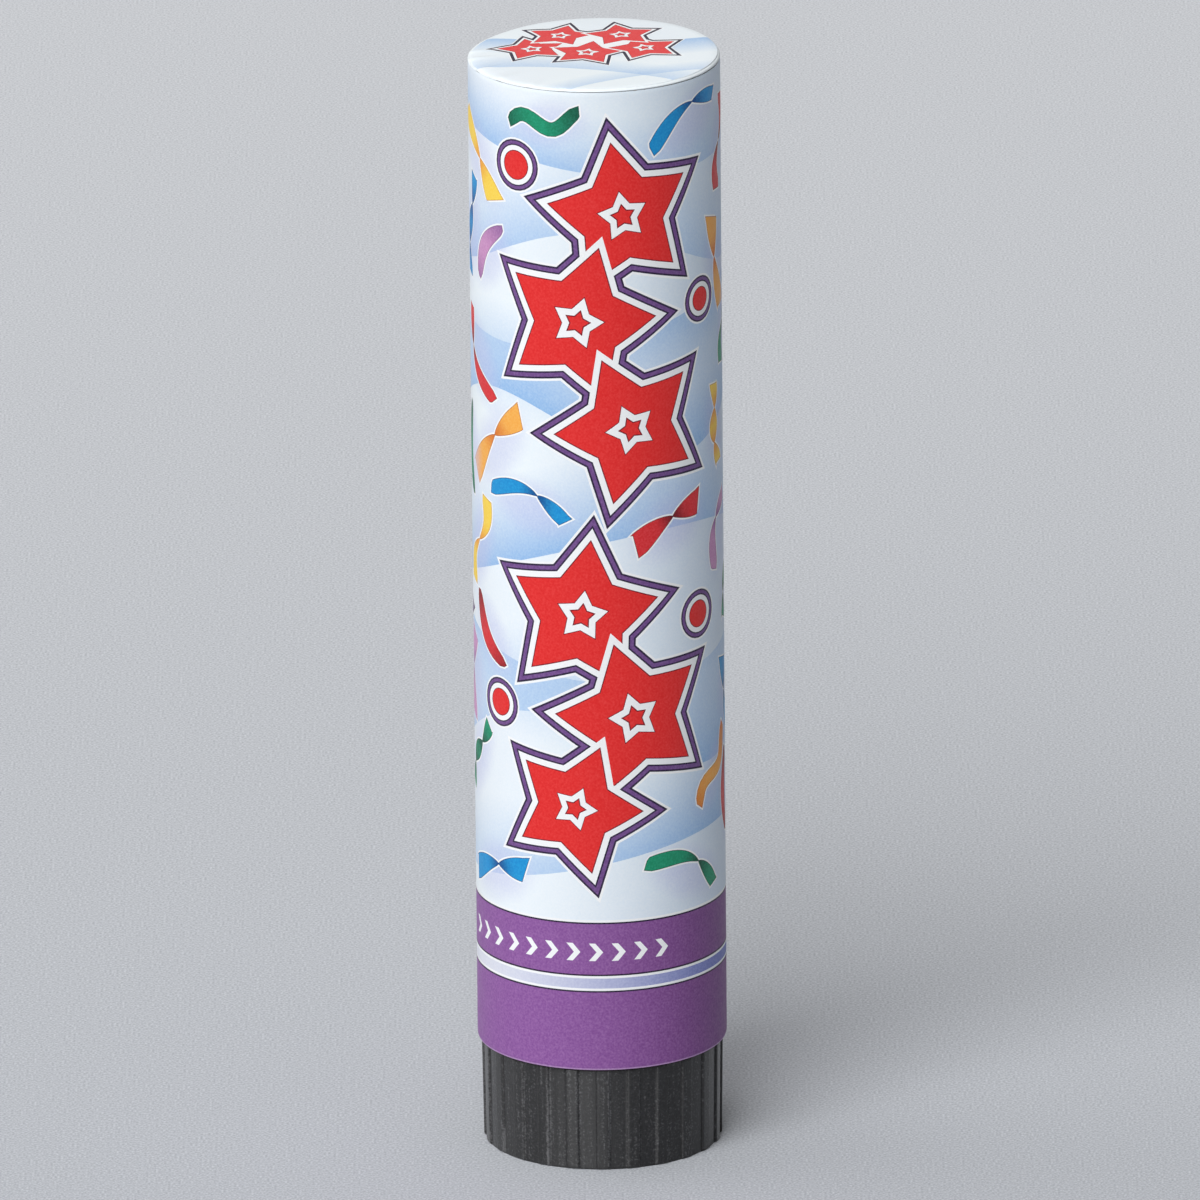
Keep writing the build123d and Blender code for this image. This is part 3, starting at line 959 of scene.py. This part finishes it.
def grip_plastic(name):
    """Moulded black plastic: matt grain, upright flow marks, and ribs lighter along one edge: partly wear,
    partly painted highlight on the lit front left.
    """
    material, tree, shader = new_material(name)
    streak = grain(tree, 1500, 3.0, (1, 1, 0.03))
    fine = grain(tree, 2600, 3.0)
    axes = axes_of(tree)
    angle = reckon(tree, "ARCTAN2", axes["Y"], axes["X"])
    # painted light: rib edges are lightened most on the lit front-left side, lifting the shaded rib walls;
    # partly wear
    side = reckon(tree, "COSINE", reckon(tree, "SUBTRACT", angle, worn_and_lit_side))
    wave = reckon(tree, "COSINE", reckon(tree, "MULTIPLY_ADD", angle, grip_ribs, -rib_wear_and_highlight_edge))
    edge = ranged(tree, wave, 0.0, 1.0, 0.86, 1.0)
    edge = reckon(tree, "MULTIPLY", edge, ranged(tree, side, 0.1, 1.0, 0.2, 0.9))
    patchy = ranged(tree, grain(tree, 150, 2.0, (1, 1, 0.2)), 0.1, 0.65, 0.4, 0.62)
    share = reckon(tree, "MULTIPLY_ADD", fine, 1.7, streak)
    share = reckon(tree, "MULTIPLY_ADD", edge, patchy, share)
    share = ranged(tree, share, 0.0, 1.0, 1.1, 1.85)
    colour = ramped(tree, share, [ink(14, 14, 15), ink(34, 34, 36), ink(88, 88, 90)], 0.0, 1.0)
    height = reckon(tree, "ADD", fine, streak)
    rounded = node(tree, "Bevel", {"Radius": rib_rounding}, samples=8).outputs["Normal"]
    join(tree, shader, Base_Color=colour, Roughness=ranged(tree, streak, 0.5, 0.62),
         Specular_IOR_Level=0.7, Anisotropic=0.8, Anisotropic_Rotation=0.25,
         Coat_Weight=0.9, Coat_IOR=1.25, Coat_Roughness=0.12,
         Tangent=node(tree, "Tangent", direction_type="RADIAL", axis="Z").outputs["Tangent"],
         Normal=bump(tree, height, 0.00005, 0.6, Normal=rounded))
    return material


def wound_board(name):
    """Grey-brown board wound in a spiral: fibres, and a thin dark line at each turn of the strip."""
    material, tree, shader = new_material(name)
    axes = axes_of(tree)
    angle = reckon(tree, "ARCTAN2", axes["Y"], axes["X"])
    climb = reckon(tree, "MULTIPLY_ADD", axes["Z"], 2 * math.pi / board_pitch, angle)
    seam = ranged(tree, reckon(tree, "COSINE", climb), 1.0, 0.72, 0.994, 1.0)
    fibre = grain(tree, 1400, 5.0, (1, 1, 0.25))
    colour = ramped(tree, fibre, [ink(142, 126, 104), ink(176, 160, 136), ink(190, 176, 154)])
    colour = node(tree, "VectorMath", {"Vector": colour, "Scale": seam}, operation="SCALE")
    join(tree, shader, Base_Color=colour.outputs["Vector"], Roughness=ranged(tree, fibre, 0.75, 0.95),
         Specular_IOR_Level=0.25, Normal=bump(tree, fibre, 0.00006))
    return material


def tissue(name, bright, deep):
    """Thin tissue: each slip its own tint, with crinkles."""
    material, tree, shader = new_material(name)
    tint = node(tree, "Attribute", attribute_name="tint").outputs["Fac"]
    fibre = grain(tree, 1500, 4.0, (1, 1, 0.4))
    share = reckon(tree, "MULTIPLY_ADD", fibre, 0.35, tint)
    share = ranged(tree, share, 0.35, 1.0, 0.1, 1.2)
    colour = ramped(tree, share, [deep, bright], 0.0, 1.0)
    join(tree, shader, Base_Color=colour, Specular_IOR_Level=0.3,
         Roughness=ranged(tree, fibre, 0.6, 0.85), Normal=bump(tree, grain(tree, 420, 5.0), 0.00006))
    return material


def dress(node_name, material):
    """Gives a CAD node its material."""
    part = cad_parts[node_name]
    if not part.material_slots:
        part.data.materials.append(material)
    for place in part.material_slots:
        place.material = material


def place_piece(piece, body, cad_node, material):
    """Sets a new piece on its body in place of a CAD node."""
    piece.data.materials.append(material)
    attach(piece, body)
    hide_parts(cad_node)


place_piece(wrap_piece(), "tube", "printed_wrap", printed_paper("wrap_paper"))
place_piece(seal_piece(), "lid", "top_seal", printed_paper("seal_paper"))

random = np.random.default_rng(7)
for number, colour in enumerate(confetti_colours):
    bright, deep = inks[colour]
    slips = slips_piece(number, colour, random)
    paper = tissue("tissue_" + colour, bright, deep)
    place_piece(slips, "confetti", "confetti_" + colour, paper)

felt = pad_piece()
felt_look = grained("grey_felt", [(118, 116, 112), (152, 150, 145), (168, 165, 160)],
                    1600, (0.9, 1.0), 0.0004, specular=0.1)
place_piece(felt, "wad", "felt_pad", felt_look)

plastic = grip_plastic("black_plastic")
card = grained("grey_card", [(150, 143, 130), (170, 163, 150), (182, 176, 164)],
               1300, (0.8, 0.95), 0.00008, specular=0.25)
off_white = grained("collar_plastic", [(214, 214, 210), (226, 226, 222)], 700, (0.4, 0.52), 0.00003)
plug_white = grained("plug_plastic", [(228, 226, 218), (236, 235, 229)], 700, (0.38, 0.5), 0.00003)
steel = grained("spring_steel", [(150, 152, 155), (182, 184, 187)],
                1800, (0.22, 0.4), 0.00002, metallic=1.0)
aluminium = grained("aluminium", [(198, 200, 203), (220, 222, 224)],
                    900, (0.28, 0.45), 0.00003, (0.15, 0.15, 6), metallic=1.0)
brass = grained("brass", [(196, 160, 88), (220, 188, 118)],
                1200, (0.2, 0.36), 0.00002, (0.2, 0.2, 5), metallic=1.0)
rubber = grained("black_rubber", [(30, 30, 31), (44, 44, 45)], 1500, (0.6, 0.8), 0.00004)
for cad_node, material in {
    "paper_tube": wound_board("tube_board"),
    "closure_card": card,
    "pusher_disc": card,
    "collar_staples": steel,
    "retaining_ring": steel,
    "neck_clip": steel,
    "fixed_collar": off_white,
    "cylinder_spacer": off_white,
    "release_plug": plug_white,
    "twist_grip": plastic,
    "cam_plate": plastic,
    "gas_cylinder": aluminium,
    "valve_bush": brass,
    "bush_gasket": rubber,
    "plug_o_ring": rubber,
}.items():
    dress(cad_node, material)


# Floor, light and camera

floor_half = 8.0
light_aim = Vector((0, 0, 0.1))

# Softboxes: name, azimuth, elevation, distance, size, power
softboxes = [
    ("key", -26, 41, 5.0, 3.4, 228.0),
    ("side", -104, 26, 4.0, 2.4, 22.0),
    ("overhead", 0, 88, 3.0, 2.6, 17.0),
]
world_tint = (1.0, 0.975, 0.95, 1)

camera_lens = 678.2
camera_aim = Vector((0.00026, 0, 0.1007))
camera_distance = 4.053
camera_rise = math.radians(17.64)
camera_roll = math.radians(-0.5)


def floor_paper():
    """Plain pale paper, painted a little lighter further back as painted light."""
    material, tree, shader = new_material("floor_paper")
    # painted light: the floor's colour grows lighter further back
    depth = axes_of(tree)["Y"]
    fibre = grain(tree, 2200, 2.0)
    wander = reckon(tree, "MULTIPLY_ADD", fibre, 2.5, depth)
    wander = ranged(tree, wander, 0.0, 1.0, 0.85, 2.4)
    colour = ramped(tree, wander, [ink(171, 175, 182), ink(230, 233, 238)], 0.0, 1.0)
    join(tree, shader, Base_Color=colour, Roughness=0.95, Specular_IOR_Level=0.1,
         Normal=bump(tree, fibre, 0.00005))
    return material


def floor_piece():
    """A wide level floor under the grip."""
    half = floor_half
    mesh = bpy.data.meshes.new("floor")
    corners = [(-half, -half, 0), (half, -half, 0), (half, half, 0), (-half, half, 0)]
    mesh.from_pydata(corners, [], [(0, 1, 2, 3)])
    mesh.materials.append(floor_paper())
    link("floor", mesh)


def soft_light(name, azimuth, elevation, distance, size, power):
    """A square softbox turned to the tube; azimuth runs to the right from the front."""
    data = bpy.data.lights.new(name, "AREA")
    data.shape = "SQUARE"
    data.size = size
    data.energy = power
    lamp = link(name, data)
    turn, rise = math.radians(azimuth), math.radians(elevation)
    away = Vector((math.sin(turn) * math.cos(rise), -math.cos(turn) * math.cos(rise), math.sin(rise)))
    lamp.location = light_aim + away * distance
    lamp.rotation_euler = away.to_track_quat("Z", "Y").to_euler()


def studio_world():
    """Dim light all round, dimmest on the right and brighter at the back."""
    world = bpy.data.worlds.new("studio")
    world.use_nodes = True
    tree = world.node_tree
    axes = axes_of(tree, "Generated")
    side = ranged(tree, axes["X"], 0.34, 0.06, -0.8, 0.8)
    back = ranged(tree, axes["Y"], 0.0, 0.22, 0.2, 0.8)
    join(tree, tree.nodes["Background"], Strength=reckon(tree, "ADD", side, back), Color=world_tint)
    bpy.context.scene.world = world


def photo_camera():
    """Camera at the photograph's viewing angle."""
    data = bpy.data.cameras.new("photo_camera")
    data.lens = camera_lens
    data.sensor_width = 36.0
    data.clip_end = 100.0
    camera = link("photo_camera", data)
    place = camera_aim + camera_distance * Vector((0, -math.cos(camera_rise), math.sin(camera_rise)))
    tilt = Matrix.Rotation(math.pi / 2 - camera_rise, 4, "X") @ Matrix.Rotation(camera_roll, 4, "Z")
    camera.matrix_world = Matrix.Translation(place) @ tilt
    bpy.context.scene.camera = camera


floor_piece()
for values in softboxes:
    soft_light(*values)
studio_world()
photo_camera()
bpy.context.scene.view_settings.view_transform = "Standard"
